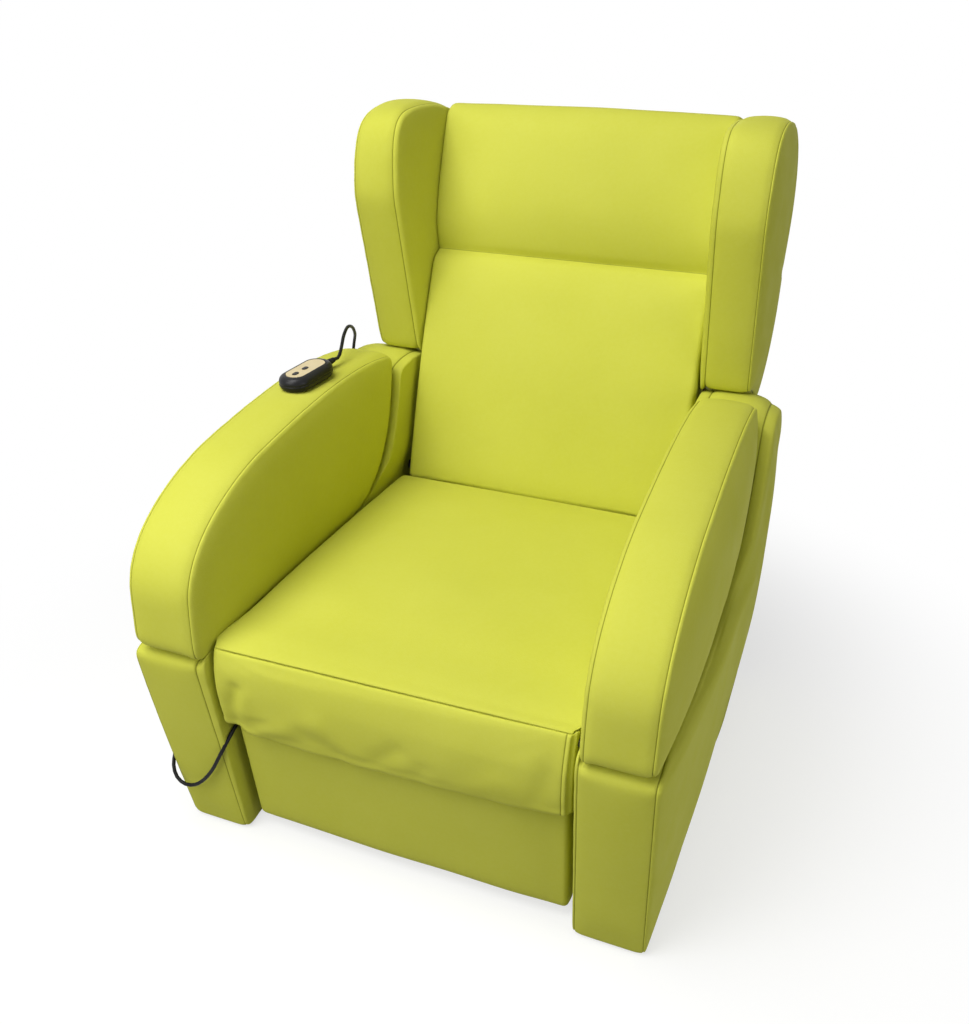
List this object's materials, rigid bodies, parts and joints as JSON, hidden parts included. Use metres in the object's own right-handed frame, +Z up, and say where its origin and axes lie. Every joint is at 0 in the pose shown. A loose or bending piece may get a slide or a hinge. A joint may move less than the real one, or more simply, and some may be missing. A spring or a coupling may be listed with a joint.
{
  "type": "powered wing-back recliner",
  "caption": "Upholstered wing-back recliner with padded arms, a legrest that swings up as the back reclines, hidden electric drive, sound transducers and a wired handset.",
  "frame": {"origin": "on the floor, under the middle of the chair's footprint, upright pose", "axes": "+Z up, -Y the way the sitter faces, -X the viewer's left when facing the chair"},
  "size_m": [0.8466, 1.0098, 1.0738],
  "materials": {
    "leatherette": "smooth lime-green leatherette with fine grain and tone-on-tone seams",
    "plywood": "raw plywood, not in view",
    "black_plastic": "black, satin",
    "cord_jacket": "black flexible jacket",
    "beige_plastic": "beige, matt",
    "steel": "zinc-plated steel",
    "amplifier_case": "dark grey"
  },
  "bodies": {
    "base": {"side_panel_left": "leatherette", "side_panel_right": "leatherette", "side_board_left": "plywood", "side_board_right": "plywood", "arm_pad_left": "leatherette", "arm_pad_right": "leatherette", "front_rail": "plywood", "rear_rail": "plywood", "rear_apron": "leatherette", "glide_front_left": "black_plastic", "glide_front_right": "black_plastic", "glide_rear_left": "black_plastic", "glide_rear_right": "black_plastic", "seat_deck": "plywood", "seat_cushion": "leatherette", "seat_transducer_left": "black_plastic", "seat_transducer_right": "black_plastic", "leg_pin_left": "steel", "leg_pin_right": "steel", "back_pin_left": "steel", "back_pin_right": "steel", "actuator_bracket": "steel", "actuator_pin": "steel", "control_box": "black_plastic", "cord_gland": "black_plastic", "amplifier": "amplifier_case", "power_supply": "black_plastic", "power_inlet": "black_plastic", "handset_shell": "black_plastic", "handset_face": "beige_plastic", "handset_boot": "black_plastic", "handset_cord": "cord_jacket"},
    "backrest": {"back_board": "plywood", "back_cushion": "leatherette", "wing_left": "leatherette", "wing_right": "leatherette", "back_cover": "leatherette", "back_transducer_upper": "black_plastic", "back_transducer_lower": "black_plastic", "back_plate_left": "steel", "back_plate_right": "steel"},
    "legrest": {"legrest_board": "plywood", "legrest_skirt": "leatherette", "legrest_panel": "leatherette", "legrest_arm_left": "steel", "legrest_arm_right": "steel", "legrest_lug": "steel"},
    "sync_bars": {"sync_bar_left": "steel", "sync_bar_right": "steel"},
    "actuator": {"actuator_tube": "black_plastic", "actuator_motor": "black_plastic"},
    "rod": {"actuator_rod": "steel"},
    "button_up": {"button_up": "black_plastic"},
    "button_down": {"button_down": "black_plastic"}
  },
  "joints": [
    {"name": "back_recline", "type": "hinge", "parent": "base", "child": "backrest", "pos_m": [0, 0.22503, 0.4], "axis": [-1, 0, 0], "range_deg": [0, 32]},
    {"name": "legrest_open", "type": "hinge", "parent": "base", "child": "legrest", "pos_m": [0, -0.44997, 0.372], "axis": [-1, 0, 0], "range_deg": [0, 85]},
    {"name": "sync_swing", "type": "hinge", "parent": "backrest", "child": "sync_bars", "pos_m": [0, 0.24503, 0.21], "axis": [-1, 0, 0], "range_deg": [-32, 0]},
    {"name": "actuator_swing", "type": "hinge", "parent": "base", "child": "actuator", "pos_m": [0, 0.10003, 0.19], "axis": [-1, 0, 0], "range_deg": [0, 1.52]},
    {"name": "actuator_stroke", "type": "slide", "parent": "actuator", "child": "rod", "axis": [0, -0.9948, 0.1022], "range_m": [0, 0.21247]},
    {"name": "button_up_press", "type": "slide", "parent": "base", "child": "button_up", "axis": [0.0073, 0.0641, -0.9979], "range_m": [0, 0.0015], "stiffness_N_per_m": 400},
    {"name": "button_down_press", "type": "slide", "parent": "base", "child": "button_down", "axis": [0.0073, 0.0641, -0.9979], "range_m": [0, 0.0015], "stiffness_N_per_m": 400}
  ],
  "couplings": [
    {"joint": "legrest_open", "follows": "back_recline", "ratio": 2.6562},
    {"joint": "sync_swing", "follows": "back_recline", "ratio": -1},
    {"joint": "actuator_swing", "follows": "back_recline", "ratio": 0.047357},
    {"joint": "actuator_stroke", "follows": "back_recline", "m_per_rad": 0.38039}
  ]
}
